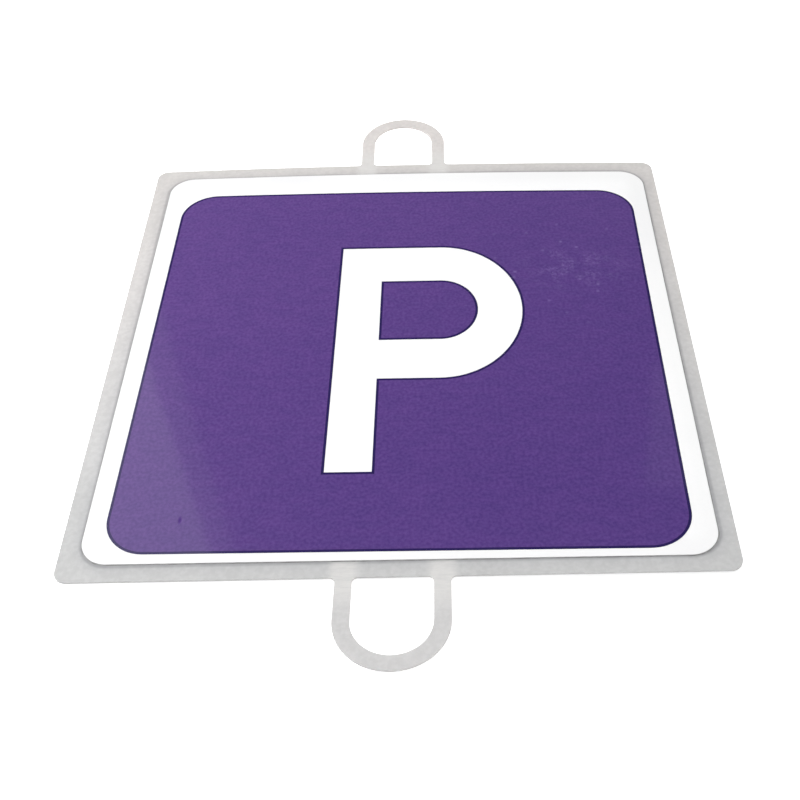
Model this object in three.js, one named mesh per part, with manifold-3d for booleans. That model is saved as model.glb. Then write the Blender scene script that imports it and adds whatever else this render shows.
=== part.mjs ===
// A flexible sign panel that hangs on a round post.
//
// One square of milky plastic sheet carries a printed, laminated label. A D-shaped loop stands out
// from the middle of its top edge and another from the middle of its bottom edge. Each loop bends at
// its two roots, so that both can be folded square to the panel and slipped over the post.
//
// Millimetres. The origin is the middle of the panel's back, +X is the sign's right, +Y its top, and
// +Z points out of the printed face. The panel lies flat on its back.

import * as THREE from 'three';
import { mergeVertices } from 'three/addons/utils/BufferGeometryUtils.js';
import Module from 'manifold-3d';

const manifold = await Module();
manifold.setup();

// The sheet.
const panelSize = 300;
const panelCorner = 6;
const sheetThickness = 1;

// The loops, which fit the post.
const postDiameter = 35;
const postClearance = 0.5;
const loopStrip = 7.5;
const loopReach = 47.5;
const bendLength = 7;
const rootFillet = 2.5;

// The label's layers, from the sheet up.
const adhesiveThickness = 0.1;
const filmThickness = 0.3;
const inkThickness = 0.1;
const laminateThickness = 0.1;
const layerGap = 0.3;

// The label's outlines: the white film, and the purple field printed a little low and askew on it.
const film = { width: 282.8, height: 282.1, corner: 13.5, x: 1.1, y: -0.4, turn: -0.003 };
const field = { width: 263.8, height: 259.4, corner: 20.1, x: 1.3, y: -7.3, turn: -0.008 };

// The letter, in the purple field's own frame.
const letter = {
  left: -34.2,
  stem: 22.5,
  top: 78.1,
  bottom: -84.3,
  bowlBottom: -23.8,
  bowlStart: 20.4,
  bowlDepth: 43.3,
  counterTop: 50,
  counterBottom: 4.2,
  counterDepth: 19.9,
};

// Curves are split this finely.
const cornerSteps = 12;
const loopSteps = 40;
const bowlSteps = 28;
const filletSteps = 6;

// Sizes that follow from those.
const panelEdge = panelSize / 2;
const loopInner = (postDiameter + postClearance) / 2;
const loopOuter = loopInner + loopStrip;
const loopCentre = panelEdge + loopReach - loopOuter;
const bendEnd = panelEdge + bendLength;
const filmBottom = sheetThickness + adhesiveThickness;
const inkBottom = filmBottom + filmThickness;
const laminateBottom = inkBottom + inkThickness;

// What each piece is made of.
const milkySheet = { color: 0xdcdad8, roughness: 0.45, metalness: 0 };
const whitenedSheet = { color: 0xe6e5e3, roughness: 0.5, metalness: 0 };
const glue = { color: 0xb4b2ae, roughness: 0.6, metalness: 0 };
const whiteFilm = { color: 0xfafafa, roughness: 0.3, metalness: 0 };
const purpleInk = { color: 0x634a8c, roughness: 0.3, metalness: 0 };
const clearFilm = { color: 0xffffff, roughness: 0.08, metalness: 0, transparent: true, opacity: 0.25 };

// ---- Outlines ----

// A rectangle with round corners, centred on its own origin.
function roundedRectangle(width, height, corner) {
  const x = width / 2 - corner;
  const y = height / 2 - corner;
  const quarter = Math.PI / 2;
  const outline = new THREE.Shape();
  outline.absarc(x, -y, corner, -quarter, 0);
  outline.absarc(x, y, corner, 0, quarter);
  outline.absarc(-x, y, corner, quarter, 2 * quarter);
  outline.absarc(-x, -y, corner, 2 * quarter, 3 * quarter);
  outline.closePath();
  return outline;
}

// A bowl's outline from its top left to its bottom left: straight, half an ellipse, then straight.
function bowl(outline, left, bottom, top, start, depth, inset) {
  const middle = (top + bottom) / 2;
  const rise = (top - bottom) / 2 - inset;
  outline.lineTo(start, top - inset);
  outline.absellipse(start, middle, depth - inset, rise, Math.PI / 2, -Math.PI / 2, true);
  outline.lineTo(left, bottom + inset);
}

// The letter's outer outline, drawn in by a given inset.
function letterOutline(inset) {
  const left = letter.left + inset;
  const right = letter.left + letter.stem - inset;
  const outline = new THREE.Shape();
  outline.moveTo(left, letter.bottom + inset);
  outline.lineTo(left, letter.top - inset);
  bowl(outline, right, letter.bowlBottom, letter.top, letter.bowlStart, letter.bowlDepth, inset);
  outline.lineTo(right, letter.bottom + inset);
  outline.closePath();
  return outline;
}

// The opening in the letter's bowl; a negative inset makes it larger.
function counterOutline(inset) {
  const left = letter.left + letter.stem + inset;
  const { counterBottom, counterTop, bowlStart, counterDepth } = letter;
  const outline = new THREE.Shape();
  outline.moveTo(left, counterBottom + inset);
  outline.lineTo(left, counterTop - inset);
  bowl(outline, left, counterBottom, counterTop, bowlStart, counterDepth, inset);
  outline.closePath();
  return outline;
}

// The part of a loop beyond its bends: two straight legs joined by half a ring.
function loopOutline() {
  const outline = new THREE.Shape();
  outline.moveTo(loopOuter, bendEnd);
  outline.lineTo(loopOuter, loopCentre);
  outline.absarc(0, loopCentre, loopOuter, 0, Math.PI);
  outline.lineTo(-loopOuter, bendEnd);
  outline.lineTo(-loopInner, bendEnd);
  outline.absarc(0, loopCentre, loopInner, Math.PI, 0, true);
  outline.lineTo(loopInner, bendEnd);
  outline.closePath();
  return outline;
}

// The root of a loop's right leg: it flares into the panel's edge with a fillet on each side.
function bendOutline() {
  const filletTop = panelEdge + rootFillet;
  const outline = new THREE.Shape();
  outline.absarc(loopInner - rootFillet, filletTop, rootFillet, -Math.PI / 2, 0);
  outline.lineTo(loopInner, bendEnd);
  outline.lineTo(loopOuter, bendEnd);
  outline.absarc(loopOuter + rootFillet, filletTop, rootFillet, Math.PI, 1.5 * Math.PI);
  outline.closePath();
  return outline;
}

// ---- Solids ----

function slab(outline, bottom, thickness, curveSegments) {
  const geometry = new THREE.ExtrudeGeometry(outline, {
    depth: thickness,
    bevelEnabled: false,
    curveSegments,
  });
  return geometry.translate(0, 0, bottom);
}

function printed(geometry, outline) {
  return geometry.rotateZ(outline.turn).translate(outline.x, outline.y, 0);
}

function toManifold(geometry) {
  const bare = geometry.clone();
  bare.deleteAttribute('normal');
  bare.deleteAttribute('uv');
  const merged = mergeVertices(bare);
  return new manifold.Manifold(new manifold.Mesh({
    numProp: 3,
    vertProperties: Float32Array.from(merged.attributes.position.array),
    triVerts: Uint32Array.from(merged.index.array),
  }));
}

function fromManifold(solid) {
  const mesh = solid.getMesh();
  const geometry = new THREE.BufferGeometry();
  geometry.setAttribute('position', new THREE.BufferAttribute(mesh.vertProperties, 3));
  geometry.setIndex(new THREE.BufferAttribute(mesh.triVerts, 1));
  const flat = geometry.toNonIndexed();
  flat.computeVertexNormals();
  return flat;
}

// ---- Pieces ----

const sign = new THREE.Group();

function addPiece(name, geometry, look, parent = sign) {
  const piece = new THREE.Mesh(geometry, new THREE.MeshStandardMaterial(look));
  piece.name = name;
  parent.add(piece);
}

function addCarrierSheet() {
  const outline = roundedRectangle(panelSize, panelSize, panelCorner);
  addPiece('carrier_sheet', slab(outline, 0, sheetThickness, cornerSteps), milkySheet);
}

// A loop and its two bends, drawn for the top edge. Turned half way round, it is the bottom one.
function addLoop(edge, turn) {
  const loop = new THREE.Group();
  loop.rotation.z = turn;
  sign.add(loop);
  addPiece(`${edge}_loop`, slab(loopOutline(), 0, sheetThickness, loopSteps), milkySheet, loop);
  const right = slab(bendOutline(), 0, sheetThickness, filletSteps);
  const left = right.clone().rotateY(Math.PI).translate(0, 0, sheetThickness);
  const names = turn === 0 ? ['right', 'left'] : ['left', 'right'];
  addPiece(`${edge}_bend_${names[0]}`, right, whitenedSheet, loop);
  addPiece(`${edge}_bend_${names[1]}`, left, whitenedSheet, loop);
}

function addLabelAdhesive() {
  const { width, height, corner } = film;
  const outline = roundedRectangle(width - 2 * layerGap, height - 2 * layerGap, corner - layerGap);
  const layer = slab(outline, sheetThickness, adhesiveThickness, cornerSteps);
  addPiece('label_adhesive', printed(layer, film), glue);
}

function addLabelFilm() {
  const outline = roundedRectangle(film.width, film.height, film.corner);
  const layer = slab(outline, filmBottom, filmThickness, cornerSteps);
  addPiece('label_film', printed(layer, film), whiteFilm);
}

function addPurpleField() {
  const outline = roundedRectangle(field.width, field.height, field.corner);
  outline.holes.push(letterOutline(0));
  const layer = slab(outline, inkBottom, inkThickness, bowlSteps);
  addPiece('purple_field', printed(layer, field), purpleInk);
}

function addPurpleCounter() {
  const layer = slab(counterOutline(0), inkBottom, inkThickness, bowlSteps);
  addPiece('purple_counter', printed(layer, field), purpleInk);
}

// The laminate covers the film and drops down round the ink, inside the letter as well.
function addClearLaminate() {
  const whole = roundedRectangle(film.width, film.height, film.corner);
  const cover = slab(whole, inkBottom, inkThickness + laminateThickness, cornerSteps);
  const { width, height, corner } = field;
  const grown = roundedRectangle(width + 2 * layerGap, height + 2 * layerGap, corner + layerGap);
  grown.holes.push(letterOutline(layerGap));
  // The pockets that leave room for the ink start below the cover, so that the cut is clean.
  const pocketDepth = 2 * inkThickness;
  const fieldPocket = slab(grown, laminateBottom - pocketDepth, pocketDepth, bowlSteps);
  const counterPocket = slab(
    counterOutline(-layerGap), laminateBottom - pocketDepth, pocketDepth, bowlSteps,
  );
  const cut = toManifold(printed(cover, film))
    .subtract(toManifold(printed(fieldPocket, field)))
    .subtract(toManifold(printed(counterPocket, field)));
  addPiece('clear_laminate', fromManifold(cut), clearFilm);
}

addCarrierSheet();
addLoop('top', 0);
addLoop('bottom', Math.PI);
addLabelAdhesive();
addLabelFilm();
addPurpleField();
addPurpleCounter();
addClearLaminate();

export default sign;
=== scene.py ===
"""The look of a flexible sign panel with two post loops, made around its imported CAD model.

Metres, in the CAD model's own frame: +X is the sign's right, +Y its top, +Z out of its printed face.
"""

import math

import bmesh
import bpy
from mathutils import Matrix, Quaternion, Vector


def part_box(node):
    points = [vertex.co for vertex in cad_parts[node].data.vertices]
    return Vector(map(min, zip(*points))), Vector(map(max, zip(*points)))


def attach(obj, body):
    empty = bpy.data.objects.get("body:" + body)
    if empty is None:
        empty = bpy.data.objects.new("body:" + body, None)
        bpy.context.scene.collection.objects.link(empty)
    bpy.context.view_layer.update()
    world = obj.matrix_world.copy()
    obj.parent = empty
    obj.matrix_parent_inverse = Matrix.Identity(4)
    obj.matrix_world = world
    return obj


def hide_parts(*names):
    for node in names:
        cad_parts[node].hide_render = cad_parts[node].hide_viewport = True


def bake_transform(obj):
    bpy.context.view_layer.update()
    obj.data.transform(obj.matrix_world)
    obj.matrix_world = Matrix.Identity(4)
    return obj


MM = 0.001
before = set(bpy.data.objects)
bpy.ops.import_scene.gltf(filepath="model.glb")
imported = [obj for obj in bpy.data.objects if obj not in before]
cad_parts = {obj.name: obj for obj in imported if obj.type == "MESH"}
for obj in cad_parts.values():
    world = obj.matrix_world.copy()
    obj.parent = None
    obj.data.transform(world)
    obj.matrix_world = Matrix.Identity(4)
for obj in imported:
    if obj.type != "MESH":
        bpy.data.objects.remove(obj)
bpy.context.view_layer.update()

# ---- Places that the frame gives ----

_, sheet_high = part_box("carrier_sheet")
SHEET_EDGE = sheet_high.y
EDGE_IN_MM = SHEET_EDGE / MM
bend_low, bend_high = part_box("top_bend_right")
BEND_LENGTH = bend_high.y - SHEET_EDGE
ROOT_INNER, ROOT_OUTER = bend_low.x, bend_high.x
ROOT_MIDDLE = (ROOT_INNER + ROOT_OUTER) / 2
film_low, film_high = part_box("label_film")
FILM_MIDDLE = (film_low + film_high) / 2
FILM_HALF = (film_high - film_low) / 2

# ---- How the sheet lies: arched along its top, twisted corner to corner, its loops a little raised ----

ARCH = 1.91 * MM
TWIST = 1.55 * MM
TOP_LOOP_TILT = math.radians(0.6)
BOTTOM_LOOP_TILT = math.radians(4.2)
# The bow lifts no point further than this.
BOW_LIMIT = 5 * MM

# ---- The edges ----

RIM_ROUNDING = 0.18 * MM
FILM_ROUNDING = 0.12 * MM
FILM_CORNER = 13.5 * MM
# The dark glue reaches this far past the film, as a line of painted shadow.
PAINTED_SHADOW_PROUD = 0.45 * MM
INK_LINE = 1.3 * MM

# ---- How finely the pieces are cut ----

GRID = 10 * MM
BEND_GRID = 0.5 * MM
ROUNDING_STEPS = 3
# The loops are parted from the square this far past its edge.
SEAM = 0.05 * MM
# Points closer together than this are one point.
WELD = 0.002 * MM
# A face is level where its normal's Z is past this.
LEVEL = 0.9
# Faces that meet at less than the first angle are one face, and past the second their edge is sharp.
FLAT_ANGLE = math.radians(0.5)
SHARP_ANGLE = math.radians(12)

# ---- Marks on the sheet and the print, in millimetres ----

# The painted light on the sheet is brightest at this point, on its left.
PAINTED_LIGHT_SIDE = (-EDGE_IN_MM, 0, 0)
BLISTER = (-97.8, -117.6, 0)
BLISTER_WIDTH = 1.1
BLISTER_HEIGHT = 3.0
SPECK_CLOUD = (95, 52, 0)

# ---- Colours ----

DARK_PURPLE = (0.072, 0.0275, 0.18)
LIGHT_PURPLE = (0.103, 0.045, 0.227)
# The shares of red, green and blue that are left in the darker line along the ink's edges.
EDGE_DEPTH = (0.13, 0.06, 0.36)
WHITE = (1, 1, 1, 1)

# ---- The camera, its lens and sensor in millimetres ----

CAMERA_PLACE = Vector((26.9, -432.3, 412.0)) * MM
CAMERA_AIM = Vector((1.4, -45.4, 2.55)) * MM
CAMERA_ROLL = math.radians(-3.89)
CAMERA_LENS = 51.37
CAMERA_SENSOR = 36

# ---- The studio ----

FLOOR_SIZE = 6
# The upright panels stand this far behind the middle of the sign.
UPRIGHTS_AT = 1.5
# How bright the room is low down and high up, and how high each ends, from 0 level to 1 overhead.
ROOM_AT_HORIZON = 0.8
ROOM_OVERHEAD = 0.22
HORIZON_TOP = 0.1
OVERHEAD_START = 0.25


def bow(x, y):
    """How high the sheet stands off the floor: arched along its top edge, and twisted corner to corner."""
    across = max(-1, min(1, x / SHEET_EDGE))
    along = max(-1, min(1, y / SHEET_EDGE))
    past = y / SHEET_EDGE - along
    arch = ARCH * (1 - across ** 2) * ((1 + along) / 2) ** 2
    arch_slope = ARCH * (1 - across ** 2) * (1 + along) / 2
    return TWIST + arch - TWIST * across * along + arch_slope * past


def tilt_rise(past_edge, tilt):
    """How far a loop has risen at a distance past the sheet's edge: a smooth bend, then a straight slope."""
    share = max(0, min(1, past_edge / BEND_LENGTH))
    bent = BEND_LENGTH * (share ** 3 - share ** 4 / 2)
    return tilt * (bent + max(0, past_edge - BEND_LENGTH))


# ---- Making a piece's mesh from CAD nodes ----


def everything(shape):
    return shape.verts[:] + shape.edges[:] + shape.faces[:]


def make_faces_whole(shape):
    """Makes the triangles of every flat side one face."""
    bmesh.ops.dissolve_limit(shape, angle_limit=FLAT_ANGLE, verts=shape.verts, edges=shape.edges)


def copied(*nodes):
    """One bmesh that holds the nodes' shapes."""
    shape = bmesh.new()
    for node in nodes:
        shape.from_mesh(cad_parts[node].data)
    bmesh.ops.remove_doubles(shape, verts=shape.verts, dist=WELD)
    make_faces_whole(shape)
    return shape


def cut(shape, axis, places):
    """Splits every face along the planes at these places on an axis."""
    normal = Vector((0, 0, 0))
    normal[axis] = 1
    for place in places:
        bmesh.ops.bisect_plane(
            shape, geom=everything(shape), plane_co=normal * place, plane_no=normal, dist=WELD / 2
        )


def weld(shape):
    """Joins solids that meet face to face: their shared corners merge, and the faces between them go."""
    bmesh.ops.remove_doubles(shape, verts=shape.verts, dist=WELD)
    between = [face for face in shape.faces if all(len(edge.link_faces) > 2 for edge in face.edges)]
    bmesh.ops.delete(shape, geom=between, context="FACES")


def beyond(shape, place, sign):
    """The part of a shape whose Y is past a place, towards +Y or -Y, closed where it was cut."""
    part = shape.copy()
    made = bmesh.ops.bisect_plane(
        part,
        geom=everything(part),
        plane_co=(0, place, 0),
        plane_no=(0, sign, 0),
        clear_inner=True,
        dist=WELD / 2,
    )
    open_edges = [element for element in made["geom_cut"] if isinstance(element, bmesh.types.BMEdge)]
    bmesh.ops.edgeloop_fill(part, edges=open_edges)
    return part


def is_level(face):
    return abs(face.normal.z) > LEVEL


def round_rim(shape, radius):
    """Rounds the edges between the level faces and the upright ones."""
    rim = [
        edge for edge in shape.edges
        if len(edge.link_faces) == 2 and is_level(edge.link_faces[0]) != is_level(edge.link_faces[1])
    ]
    bmesh.ops.bevel(
        shape,
        geom=rim,
        offset=radius,
        segments=ROUNDING_STEPS,
        profile=0.5,
        affect="EDGES",
        clamp_overlap=True,
    )


def steps(low, high, pitch):
    """The places that split a length into equal parts of about this pitch, without its two ends."""
    count = max(1, round((high - low) / pitch))
    return [low + (high - low) * step / count for step in range(1, count)]


def grid_cut(shape):
    """Cuts a flat piece into squares, so that it can bow."""
    cut(shape, 0, steps(-SHEET_EDGE, SHEET_EDGE, GRID))
    cut(shape, 1, steps(-SHEET_EDGE, SHEET_EDGE, GRID))


def note_flat_places(mesh):
    """Keeps where each point lies before the piece is bowed or moved, for the materials' patterns."""
    places = [number for vertex in mesh.vertices for number in vertex.co]
    flat = mesh.attributes.new("flat_place", "FLOAT_VECTOR", "POINT")
    flat.data.foreach_set("vector", places)


def add_bow(piece):
    """Lifts each point of a piece as high as the bowed sheet stands there."""
    group = piece.vertex_groups.new(name="bow")
    for vertex in piece.data.vertices:
        group.add([vertex.index], bow(vertex.co.x, vertex.co.y) / BOW_LIMIT, "REPLACE")
    lift = piece.modifiers.new("Bow", "DISPLACE")
    lift.direction = "Z"
    lift.mid_level = 0
    lift.strength = BOW_LIMIT
    lift.vertex_group = "bow"


def finished(shape, name, *materials):
    """Turns a bmesh into a bowed piece with these materials."""
    bmesh.ops.recalc_face_normals(shape, faces=shape.faces[:])
    mesh = bpy.data.meshes.new(name)
    shape.to_mesh(mesh)
    shape.free()
    mesh.shade_smooth()
    mesh.set_sharp_from_angle(angle=SHARP_ANGLE)
    piece = bpy.data.objects.new(name, mesh)
    bpy.context.scene.collection.objects.link(piece)
    for material in materials:
        mesh.materials.append(material)
    note_flat_places(mesh)
    add_bow(piece)
    return piece


# ---- Building materials from nodes ----


class Look:
    """A material being built: each method adds a node and gives back its output.

    Places and distances on a piece are in millimetres, measured on the flat piece.
    """

    def __init__(self, name, roughness, **plain):
        self.material = bpy.data.materials.new(name)
        self.material.use_nodes = True
        self.nodes = self.material.node_tree.nodes
        self.links = self.material.node_tree.links
        self.shader = self.nodes["Principled BSDF"]
        self.shader.inputs["Roughness"].default_value = roughness
        for socket, value in plain.items():
            self.shader.inputs[socket.replace("_", " ")].default_value = value
        place = self.nodes.new("ShaderNodeAttribute")
        place.attribute_name = "flat_place"
        self.place = self.vector("SCALE", place.outputs["Vector"], scale=1 / MM)

    def join(self, value, socket):
        """Links a node's output to a socket, or sets the socket to a plain value."""
        if isinstance(value, bpy.types.NodeSocket):
            self.links.new(value, socket)
        else:
            socket.default_value = value

    def vector(self, operation, first, second=None, scale=None):
        node = self.nodes.new("ShaderNodeVectorMath")
        node.operation = operation
        self.join(first, node.inputs[0])
        if second is not None:
            self.join(second, node.inputs[1])
        if scale is not None:
            node.inputs["Scale"].default_value = scale
        return node.outputs["Value"] if operation in ("LENGTH", "DISTANCE") else node.outputs["Vector"]

    def from_mark(self, mark, stretch):
        """The way from a mark, stretched along each axis."""
        return self.vector("MULTIPLY", self.vector("SUBTRACT", self.place, mark), stretch)

    def parts(self, vector):
        node = self.nodes.new("ShaderNodeSeparateXYZ")
        self.links.new(vector, node.inputs[0])
        return node.outputs["X"], node.outputs["Y"], node.outputs["Z"]

    def maths(self, operation, *values):
        node = self.nodes.new("ShaderNodeMath")
        node.operation = operation
        for value, socket in zip(values, node.inputs):
            self.join(value, socket)
        return node.outputs[0]

    def plus(self, first, second):
        return self.maths("ADD", first, second)

    def minus(self, first, second):
        return self.maths("SUBTRACT", first, second)

    def times(self, first, second):
        return self.maths("MULTIPLY", first, second)

    def absolute(self, value):
        return self.maths("ABSOLUTE", value)

    def spread(self, value, low, high, start=0.0, end=1.0):
        """The value's smooth way from low to high, mapped to start and end."""
        node = self.nodes.new("ShaderNodeMapRange")
        node.interpolation_type = "SMOOTHSTEP"
        self.join(value, node.inputs["Value"])
        for name, number in (("From Min", low), ("From Max", high), ("To Min", start), ("To Max", end)):
            self.join(number, node.inputs[name])
        return node.outputs["Result"]

    def near(self, distance, full, gone):
        """1 up to one distance, falling smoothly to 0 at another."""
        return self.spread(distance, full, gone, 1.0, 0.0)

    def noise(self, size, detail=2.0, stretch=(1, 1, 1)):
        """Noise from 0 to 1 whose blobs are about this big."""
        node = self.nodes.new("ShaderNodeTexNoise")
        node.inputs["Scale"].default_value = 1.0
        node.inputs["Detail"].default_value = detail
        scaled = self.vector("MULTIPLY", self.place, tuple(share / size for share in stretch))
        self.links.new(scaled, node.inputs["Vector"])
        return node.outputs["Fac"]

    def dots(self, spacing, radius):
        """Small round dots, one in each cell of this spacing, each of its own brightness up to 1."""
        node = self.nodes.new("ShaderNodeTexVoronoi")
        node.voronoi_dimensions = "2D"
        node.inputs["Scale"].default_value = 1.0
        self.links.new(self.vector("MULTIPLY", self.place, (1 / spacing,) * 3), node.inputs["Vector"])
        inside = self.near(node.outputs["Distance"], 0.2 * radius / spacing, radius / spacing)
        brightness, _, _ = self.parts(node.outputs["Color"])
        return self.times(inside, self.spread(brightness, 0.45, 1.0))

    def mixed(self, factor, first, second, blend="MIX"):
        """Two colours mixed: the first where the factor is 0, the second where it is 1."""
        node = self.nodes.new("ShaderNodeMix")
        node.data_type = "RGBA"
        node.blend_type = blend
        self.join(factor, node.inputs["Factor"])
        for name, colour in (("A", first), ("B", second)):
            socket = next(entry for entry in node.inputs if entry.name == name and entry.type == "RGBA")
            self.join((*colour, 1.0) if isinstance(colour, tuple) else colour, socket)
        return next(entry for entry in node.outputs if entry.type == "RGBA")

    def tinted(self, colour, tint, factor=1.0):
        """A colour multiplied by a tint where the factor is 1."""
        return self.mixed(factor, colour, tint, "MULTIPLY")

    def bumped(self, height, distance):
        """The surface's normal, dented by the height times a distance in metres."""
        node = self.nodes.new("ShaderNodeBump")
        node.inputs["Strength"].default_value = 1.0
        node.inputs["Distance"].default_value = distance
        self.links.new(height, node.inputs["Height"])
        return node.outputs["Normal"]

    def set(self, **values):
        """Gives the shader's sockets these outputs, and hands over the material."""
        for name, value in values.items():
            self.join(value, self.shader.inputs[name.replace("_", " ")])
        return self.material


# ---- The sheet's material and the glue's ----


def outside_film(look):
    """How far outside the film's outline, a rectangle with round corners; less than 0 inside it."""
    x, y, _ = look.parts(look.vector("SUBTRACT", look.place, (FILM_MIDDLE.x / MM, FILM_MIDDLE.y / MM, 0)))
    out_x = look.minus(look.absolute(x), (FILM_HALF.x - FILM_CORNER) / MM)
    out_y = look.minus(look.absolute(y), (FILM_HALF.y - FILM_CORNER) / MM)
    far_x = look.maths("MAXIMUM", out_x, 0.0)
    far_y = look.maths("MAXIMUM", out_y, 0.0)
    outside = look.maths("SQRT", look.plus(look.times(far_x, far_x), look.times(far_y, far_y)))
    inside = look.maths("MINIMUM", look.maths("MAXIMUM", out_x, out_y), 0.0)
    return look.minus(look.plus(outside, inside), FILM_CORNER / MM)


def sheet_tone_and_painted_light(look, y, past_edge):
    """The sheet's colour: warmer towards its top and paler on the loops, with painted light that makes it
    lighter towards its top and paler at its left.
    """
    # Painted light: the sheet is lighter towards its top, where its colour is also warmer.
    colour = look.mixed(look.spread(y, -EDGE_IN_MM, EDGE_IN_MM), (0.487, 0.488, 0.487), (0.546, 0.527, 0.514))
    # Painted light: the sheet is paler towards its left side.
    away = look.vector("DISTANCE", look.place, PAINTED_LIGHT_SIDE)
    colour = look.tinted(colour, (1.085, 1.08, 1.085), look.near(away, 30, 140))
    return look.tinted(colour, (1.09, 1.075, 1.075), look.spread(past_edge, 0, 12))


def painted_edge_shade(look, colour):
    """Darkens the strip beside the label with painted shade: a dark line of painted shadow along its edge,
    then a fainter painted shade.
    """
    beside = outside_film(look)
    colour = look.tinted(colour, (0.9, 0.9, 0.915), look.near(beside, 0.0, 7.0))
    return look.tinted(colour, (0.74, 0.74, 0.75), look.near(beside, 0.4, 1.8))


def root_whitening(look, x, past_edge, craze):
    """How much bending has whitened the sheet: most at the loops' roots, just past its edge."""
    away_x = look.absolute(look.minus(look.absolute(x), ROOT_MIDDLE / MM))
    away_y = look.absolute(look.minus(past_edge, 1.5))
    white = look.times(look.near(away_x, 3.0, 8.5), look.near(away_y, 4.0, 18.0))
    return look.times(white, look.spread(craze, 0.2, 0.75, 0.45, 1.0))


def milky_sheet():
    """Satin, milky plastic: a little cloudy and whitened at the loops' roots, with painted light across it
    and painted shade beside the label.
    """
    look = Look("milky_sheet", 0.5, Specular_IOR_Level=0.14)
    x, y, _ = look.parts(look.place)
    past_edge = look.minus(look.absolute(y), EDGE_IN_MM)
    cloud = look.noise(30, detail=4)
    grain = look.noise(2.2, detail=3)
    craze = look.noise(1.8, detail=3, stretch=(0.35, 2.2, 1))
    scuff = look.noise(7, detail=5, stretch=(1, 0.25, 1))
    white = root_whitening(look, x, past_edge, craze)
    colour = sheet_tone_and_painted_light(look, y, past_edge)
    colour = look.tinted(colour, (0.95, 0.95, 0.95), look.spread(cloud, 0.3, 0.7))
    colour = look.tinted(colour, (1.1, 1.1, 1.1), look.spread(grain, 0.3, 0.75))
    # Painted shade on the strip beside the label.
    colour = painted_edge_shade(look, colour)
    colour = look.mixed(white, colour, (0.622, 0.612, 0.6))
    roughness = look.plus(look.spread(scuff, 0.3, 0.8, 0.44, 0.58), look.times(white, 0.06))
    height = look.plus(grain, look.times(craze, white))
    return look.set(Base_Color=colour, Roughness=roughness, Normal=look.bumped(height, 0.015 * MM))


def adhesive():
    """The glue line round the label, dark grey and blotchy: painted shadow along the label's edge."""
    look = Look("adhesive", 0.6)
    blotches = look.noise(3.5, detail=4)
    # The glue's dark grey is painted shadow along the label's edge.
    colour = look.mixed(look.spread(blotches, 0.3, 0.7), (0.2, 0.2, 0.2), (0.32, 0.32, 0.32))
    return look.set(Base_Color=colour, Roughness=look.spread(blotches, 0.3, 0.7, 0.5, 0.7))


# ---- The label's materials ----

# The print's own gloss is lost under the laminate, which has all of it.
UNDER_LAMINATE = {"Coat_Weight": 1.0, "Coat_Roughness": 0.06, "Coat_IOR": 1.5, "Specular_IOR_Level": 0.1}


def laminate_waves(look, blister=0.0):
    """The clear film over the print is not quite flat: long waves and a fine orange peel."""
    peel = look.times(look.noise(5, detail=1), 0.06)
    height = look.plus(look.noise(26, detail=1), peel)
    return look.bumped(look.plus(height, look.times(blister, 0.7)), 0.03 * MM)


def white_film():
    """The border and the letter: a soft white, greyer at the label's left and near its edge."""
    look = Look("white_film", 0.35, **UNDER_LAMINATE)
    x, _, _ = look.parts(look.place)
    tone = look.noise(60, detail=2)
    grain = look.noise(1.5, detail=1)
    colour = look.mixed(look.spread(tone, 0.35, 0.7), (0.915, 0.915, 0.92), (0.885, 0.885, 0.895))
    across = look.mixed(look.spread(x, -EDGE_IN_MM, EDGE_IN_MM), (0.965, 0.965, 0.965), (1.015, 1.015, 1.01))
    colour = look.tinted(colour, across)
    colour = look.tinted(colour, (0.955, 0.955, 0.955), look.spread(outside_film(look), -16.0, -4.0))
    colour = look.mixed(look.spread(grain, 0.4, 0.8, 0.0, 0.06), colour, (0.7, 0.7, 0.71))
    roughness = look.spread(grain, 0.3, 0.7, 0.3, 0.4)
    return look.set(Base_Color=colour, Roughness=roughness, Coat_Normal=laminate_waves(look))


def small_blister(look):
    """A small upright blister in the laminate, in the print's lower left."""
    away = look.from_mark(BLISTER, (1 / BLISTER_WIDTH, 1 / BLISTER_HEIGHT, 0))
    return look.near(look.vector("LENGTH", away), 0.2, 1.0)


def specks(look):
    """Tiny air specks under the laminate: a long cloud right of the letter's bowl, and a few round it."""
    away = look.vector("LENGTH", look.from_mark(SPECK_CLOUD, (1, 1.6, 0)))
    patchy = look.spread(look.noise(9, detail=2), 0.38, 0.6)
    cloud = look.times(look.near(away, 8.0, 42.0), patchy)
    froth = look.spread(look.noise(1.8, detail=3), 0.42, 0.66, 0.0, 0.65)
    fine = look.times(cloud, look.maths("MAXIMUM", look.dots(1.9, 0.6), froth))
    few = look.times(look.near(away, 20.0, 95.0), look.dots(9.0, 1.4))
    return look.maths("MAXIMUM", fine, few)


def printed_purple(look, grain, depth):
    """The print's purple, grained and mottled, with painted light and painted reflection: lighter and paler
    towards its top left, darker towards its bottom right.
    """
    dark, light = [
        tuple(part * share for part, share in zip(colour, depth)) for colour in (DARK_PURPLE, LIGHT_PURPLE)
    ]
    mottle = look.noise(6, detail=3, stretch=(0.6, 1.4, 1))
    patch = look.noise(60, detail=3)
    x, y, _ = look.parts(look.place)
    # Painted light and painted reflection, from the top left to the bottom right.
    painted_light = look.spread(look.minus(y, x), -230, 230)
    colour = look.mixed(look.spread(grain, 0.28, 0.72), dark, light)
    colour = look.tinted(colour, (0.88, 0.92, 0.94), look.spread(mottle, 0.3, 0.7))
    colour = look.tinted(colour, (1.05, 1.06, 1.02), look.spread(patch, 0.3, 0.7))
    return look.tinted(colour, look.mixed(painted_light, (0.88, 0.88, 0.945), (1.12, 1.17, 1.06)))


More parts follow.
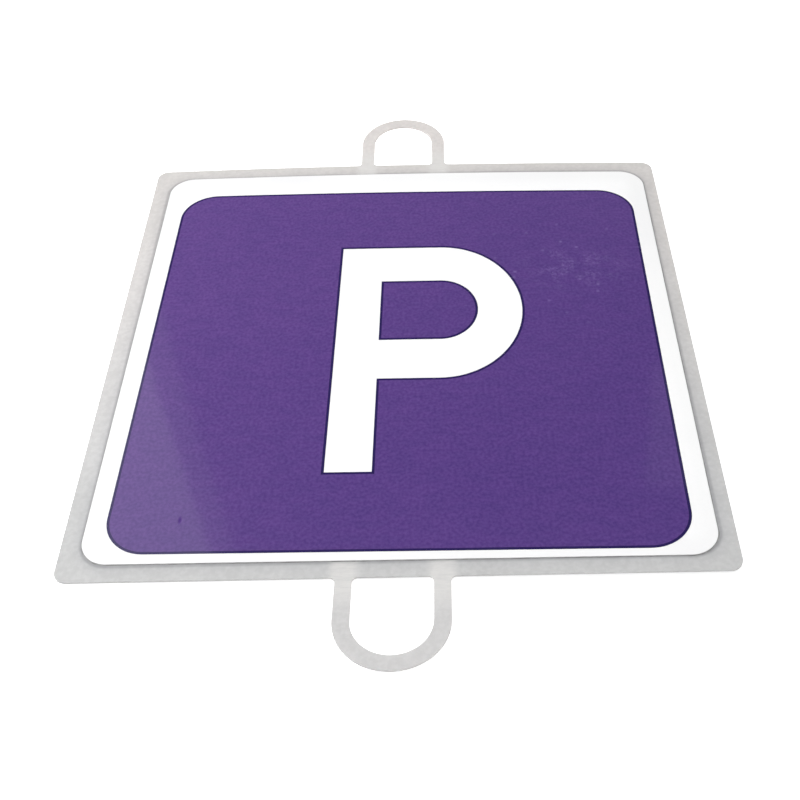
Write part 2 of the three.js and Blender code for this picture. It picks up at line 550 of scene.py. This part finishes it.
def purple_ink(name, depth=(1, 1, 1)):
    """Printed ink under the gloss. A depth below 1 makes the darker line along its edges."""
    look = Look(name, 0.4, **UNDER_LAMINATE)
    grain = look.noise(1.6, detail=3)
    blister = small_blister(look)
    colour = printed_purple(look, grain, depth)
    colour = look.mixed(look.times(specks(look), 0.3), colour, (0.3, 0.22, 0.48))
    # Over the blister the purple is also painted darker: painted shade where its tilted laminate catches no
    # reflection.
    colour = look.mixed(look.times(blister, 0.8), colour, (0.055, 0.018, 0.16))
    return look.set(
        Base_Color=colour,
        Roughness=look.spread(grain, 0.3, 0.7, 0.35, 0.45),
        Coat_Weight=look.minus(1.0, look.times(blister, 0.85)),
        Coat_Normal=laminate_waves(look, blister),
    )


# ---- The sheet and its loops ----


def whole_sheet():
    """The sheet as it is die-cut, in one piece with both loops, its rim a little rounded."""
    nodes = [f"{edge}_{part}" for edge in ("top", "bottom") for part in ("loop", "bend_left", "bend_right")]
    shape = copied("carrier_sheet", *nodes)
    # The square gets corners where the roots meet it, so that they weld.
    cut(shape, 0, [side * place for side in (-1, 1) for place in (ROOT_INNER, ROOT_OUTER)])
    weld(shape)
    make_faces_whole(shape)
    round_rim(shape, RIM_ROUNDING)
    return shape


def add_loop(whole, edge, sign, tilt, milky):
    """A loop with its bends, from its roots at the square's edge, already risen by its tilt."""
    shape = beyond(whole, sign * (SHEET_EDGE + SEAM), sign)
    # The fine cuts run on past the bend, so that it ends smoothly.
    bend_cuts = steps(SHEET_EDGE, SHEET_EDGE + 1.5 * BEND_LENGTH, BEND_GRID)
    cut(shape, 1, [sign * place for place in bend_cuts])
    loop = finished(shape, f"{edge}_loop_strap", milky)
    for vertex in loop.data.vertices:
        vertex.co.z += tilt_rise(abs(vertex.co.y) - SHEET_EDGE, tilt)
    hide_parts(f"{edge}_loop", f"{edge}_bend_left", f"{edge}_bend_right")
    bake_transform(loop)


def add_sheet():
    """Both loops and the square between them, cut from the one sheet."""
    milky = milky_sheet()
    whole = whole_sheet()
    add_loop(whole, "top", 1, TOP_LOOP_TILT, milky)
    add_loop(whole, "bottom", -1, BOTTOM_LOOP_TILT, milky)
    lower = beyond(whole, SHEET_EDGE + SEAM, -1)
    square = beyond(lower, -SHEET_EDGE - SEAM, 1)
    grid_cut(square)
    panel = finished(square, "milky_square", milky)
    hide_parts("carrier_sheet")
    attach(panel, "sheet")


# ---- The label ----


def add_layer(name, shape, slot, nodes, *materials):
    """One of the label's flat layers."""
    grid_cut(shape)
    layer = finished(shape, name, *materials)
    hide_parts(*nodes)
    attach(layer, "sheet")


def add_shadowing_glue_line():
    """The glue, reaching a little past the film: its dark edge is painted shadow along the label's edge."""
    shape = copied("label_adhesive")
    low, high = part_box("label_adhesive")
    for axis in (0, 1):
        grown = (FILM_HALF[axis] + PAINTED_SHADOW_PROUD) / ((high[axis] - low[axis]) / 2)
        for vertex in shape.verts:
            vertex.co[axis] = FILM_MIDDLE[axis] + (vertex.co[axis] - FILM_MIDDLE[axis]) * grown
    add_layer("glue_line_painted_shadow", shape, "adhesive", ["label_adhesive"], adhesive())


def add_film():
    """The white film with the clear laminate on it, its edge a little rounded."""
    shape = copied("label_film")
    round_rim(shape, FILM_ROUNDING)
    add_layer("laminated_film", shape, "white_film", ["label_film", "clear_laminate"], white_film())


def add_ink(name, node, ink, edge_ink):
    """A printed area, with a thin darker line along its outline."""
    shape = copied(node)
    upper = [face for face in shape.faces if face.normal.z > LEVEL]
    ring = bmesh.ops.inset_region(shape, faces=upper, thickness=INK_LINE, use_even_offset=True)
    for face in ring["faces"]:
        face.material_index = 1
    add_layer(name, shape, "purple_ink", [node], ink, edge_ink)


def add_label():
    add_shadowing_glue_line()
    add_film()
    ink = purple_ink("purple_ink")
    edge_ink = purple_ink("purple_ink_edge", depth=EDGE_DEPTH)
    add_ink("purple_print", "purple_field", ink, edge_ink)
    add_ink("purple_bowl_print", "purple_counter", ink, edge_ink)


# ---- Camera, light and floor ----


def add_camera():
    scene = bpy.context.scene
    camera = bpy.data.objects.new("camera", bpy.data.cameras.new("camera"))
    scene.collection.objects.link(camera)
    camera.data.sensor_width = CAMERA_SENSOR
    camera.data.lens = CAMERA_LENS
    camera.data.clip_start = 10 * MM
    facing = (CAMERA_AIM - CAMERA_PLACE).to_track_quat("-Z", "Y")
    camera.location = CAMERA_PLACE
    camera.rotation_mode = "QUATERNION"
    camera.rotation_quaternion = facing @ Quaternion((0, 0, 1), CAMERA_ROLL)
    scene.camera = camera


def add_light(name, place, aim, width, height, radiance):
    """A soft rectangular light whose face is this bright."""
    data = bpy.data.lights.new(name, "AREA")
    data.shape = "RECTANGLE"
    data.size = width
    data.size_y = height
    data.energy = radiance * math.pi * width * height
    light = bpy.data.objects.new(name, data)
    light.location = place
    light.rotation_mode = "QUATERNION"
    light.rotation_quaternion = (Vector(aim) - Vector(place)).to_track_quat("-Z", "Y")
    bpy.context.scene.collection.objects.link(light)


def add_upright(name, left, right, bottom, top, radiance):
    """A soft upright panel behind the sign, facing the camera."""
    place = Vector(((left + right) / 2, UPRIGHTS_AT, (bottom + top) / 2))
    add_light(name, place, place - Vector((0, 1, 0)), right - left, top - bottom, radiance)


def add_lights():
    """Light from overhead and from the left, and upright panels that the label's gloss mirrors."""
    add_light("overhead", (0, -0.1, 1.5), (0, -0.1, 0), width=2.2, height=1.9, radiance=1.28)
    add_light("key", (-0.95, 0.22, 1.15), (0, 0, 0), width=0.7, height=0.7, radiance=9.6)
    add_upright("left_window", left=-2.525, right=-0.725, bottom=0.8, top=3.2, radiance=0.98)
    add_upright("left_curtain", left=-2.525, right=-0.655, bottom=0.8, top=3.2, radiance=0.32)
    add_upright("right_window", left=0.505, right=1.4, bottom=1.486, top=1.95, radiance=0.24)


def add_backdrop():
    """A white room, dim overhead and as pale as the floor's far edge near the horizon."""
    world = bpy.data.worlds.new("studio")
    world.use_nodes = True
    nodes = world.node_tree.nodes
    links = world.node_tree.links
    direction = nodes.new("ShaderNodeTexCoord")
    parts = nodes.new("ShaderNodeSeparateXYZ")
    links.new(direction.outputs["Generated"], parts.inputs[0])
    strength = nodes.new("ShaderNodeMapRange")
    strength.interpolation_type = "SMOOTHSTEP"
    strength.inputs["From Min"].default_value = HORIZON_TOP
    strength.inputs["From Max"].default_value = OVERHEAD_START
    strength.inputs["To Min"].default_value = ROOM_AT_HORIZON
    strength.inputs["To Max"].default_value = ROOM_OVERHEAD
    links.new(parts.outputs["Z"], strength.inputs["Value"])
    nodes["Background"].inputs["Color"].default_value = WHITE
    links.new(strength.outputs["Result"], nodes["Background"].inputs["Strength"])
    bpy.context.scene.world = world


def pale_floor():
    """White board, lit a little from below, so that shadows on it stay light."""
    pale = (0.93, 0.93, 0.93, 1)
    return Look("pale_floor", 0.8, Base_Color=pale, Emission_Strength=0.55, Emission_Color=WHITE).material


def add_floor():
    bpy.ops.mesh.primitive_plane_add(size=FLOOR_SIZE)
    floor = bpy.context.object
    floor.name = "floor"
    floor.data.materials.append(pale_floor())


def add_studio():
    bpy.context.scene.view_settings.view_transform = "Standard"
    add_backdrop()
    add_lights()
    add_floor()


add_camera()
add_sheet()
add_label()
add_studio()
